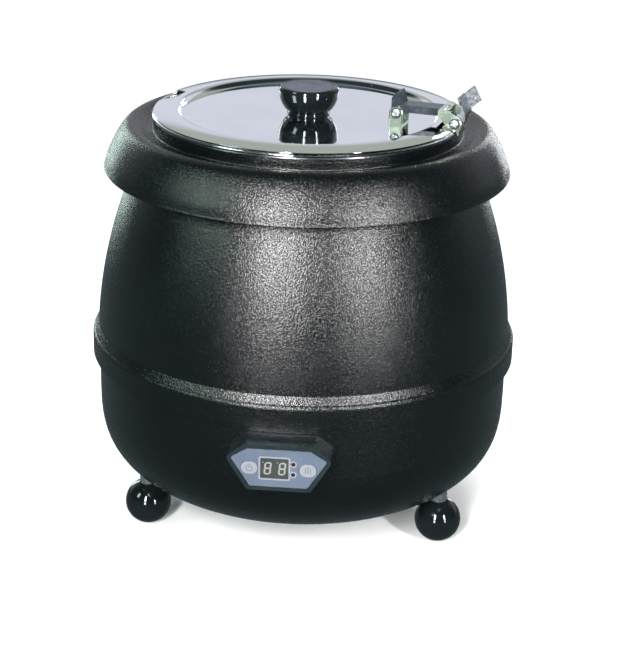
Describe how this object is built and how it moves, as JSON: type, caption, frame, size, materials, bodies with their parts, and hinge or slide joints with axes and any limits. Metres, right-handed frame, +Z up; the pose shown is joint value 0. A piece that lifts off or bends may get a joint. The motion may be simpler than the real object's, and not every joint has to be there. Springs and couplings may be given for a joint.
{
  "type": "soup kettle",
  "caption": "Electric soup kettle: round black housing on ball feet, lift-out steel pot in a water pan, button panel, and a knobbed lid on a clip-on folding hinge.",
  "frame": {"origin": "on the counter under the kettle's axis", "axes": "+Z up; the control panel faces -Y; +X is on the right for someone who faces the panel"},
  "size_m": [0.3559, 0.3918, 0.3773],
  "materials": {
    "textured_coat": "black orange-peel powder coat",
    "gloss_black": "polished black phenolic",
    "bezel_black": "moulded satin black",
    "polished_steel": "mirror polished stainless",
    "pot_steel": "satin stainless",
    "hinge_steel": "bright pressed stainless",
    "arm_steel": "dark pressed steel",
    "zinc": "zinc plated",
    "element": "oxidised sheath",
    "aluminium": "rolled",
    "ceramic": "glazed ceramic",
    "brass": "plain",
    "wire": "silicone insulation",
    "seal": "silicone",
    "overlay": "printed film",
    "circuit_board": "solder mask",
    "dark_plastic": "moulded",
    "relay_blue": "moulded",
    "digit": "lit segments",
    "window": "clear",
    "led_red": "diffused",
    "led_dark": "diffused",
    "button_white": "moulded",
    "cap_grey": "satin"
  },
  "bodies": {
    "root": {"barrel_shell": "textured_coat", "lower_bowl": "textured_coat", "top_collar": "textured_coat", "base_cover": "zinc", "cover_screws": "zinc", "foot_front_left": "gloss_black", "foot_front_right": "gloss_black", "foot_back": "gloss_black", "foot_bolts": "zinc", "foot_spacers": "hinge_steel", "foot_backing_washers": "zinc", "foot_nuts": "zinc", "water_pan": "pot_steel", "heat_plate": "aluminium", "heating_element": "element", "element_clamp": "zinc", "clamp_nut": "zinc", "thermal_cutout": "ceramic", "temperature_probe": "pot_steel", "probe_clip": "zinc", "terminal_block": "ceramic", "earth_screw": "brass", "internal_leads": "wire", "cord_gland": "gloss_black", "gland_nut": "gloss_black", "panel_box": "bezel_black", "panel_gasket": "seal", "panel_screws": "zinc", "panel_overlay": "overlay", "control_board": "circuit_board", "tact_switches": "dark_plastic", "power_relay": "relay_blue", "display_module": "dark_plastic", "display_digits": "digit", "display_window": "window", "heat_led": "led_red", "keep_led": "led_dark"},
    "power_button": {"power_button": "button_white"},
    "set_button": {"set_button": "button_white"},
    "soup_pot": {"soup_pot": "pot_steel"},
    "clip": {"clip_bracket": "hinge_steel", "clip_spring": "arm_steel", "clip_pin": "hinge_steel"},
    "clip_lever": {"clip_finger": "hinge_steel"},
    "arm": {"link_arm": "arm_steel", "arm_clevis": "hinge_steel", "arm_rivets": "zinc"},
    "lid": {"lid": "polished_steel", "lid_bracket": "hinge_steel", "lid_pin": "hinge_steel", "lid_rivets": "zinc", "lid_knob": "gloss_black", "knob_cap": "cap_grey", "knob_screw": "zinc", "knob_washer": "zinc"}
  },
  "joints": [
    {"name": "power_press", "type": "slide", "parent": "root", "child": "power_button", "axis": [0, 1, 0], "range_m": [0, 0.001], "stiffness_N_per_m": 900, "springref_m": -0.0015},
    {"name": "set_press", "type": "slide", "parent": "root", "child": "set_button", "axis": [0, 1, 0], "range_m": [0, 0.001], "stiffness_N_per_m": 900, "springref_m": -0.0015},
    {"name": "pot_lift", "type": "slide", "parent": "root", "child": "soup_pot", "axis": [0, 0, 1], "range_m": [0, 0.26]},
    {"name": "clip_lift", "type": "slide", "parent": "soup_pot", "child": "clip", "axis": [0, 0, 1], "range_m": [0, 0.06]},
    {"name": "lever_squeeze", "type": "hinge", "parent": "clip", "child": "clip_lever", "pos_m": [0.12206, -0.03043, 0.3508], "axis": [0.2419, 0.9703, 0], "range_deg": [-16, 0], "stiffness_Nm_per_rad": 0.6, "springref_deg": 20.05},
    {"name": "arm_lift", "type": "hinge", "parent": "clip", "child": "arm", "pos_m": [0.12206, -0.03043, 0.3508], "axis": [0.2419, 0.9703, 0], "range_deg": [0, 48]},
    {"name": "lid_tilt", "type": "hinge", "parent": "arm", "child": "lid", "pos_m": [0.07433, -0.01853, 0.3536], "axis": [0.2419, 0.9703, 0], "range_deg": [-5, 0]}
  ],
  "couplings": [
    {"joint": "lid_tilt", "follows": "arm_lift", "ratio": -0.1}
  ]
}
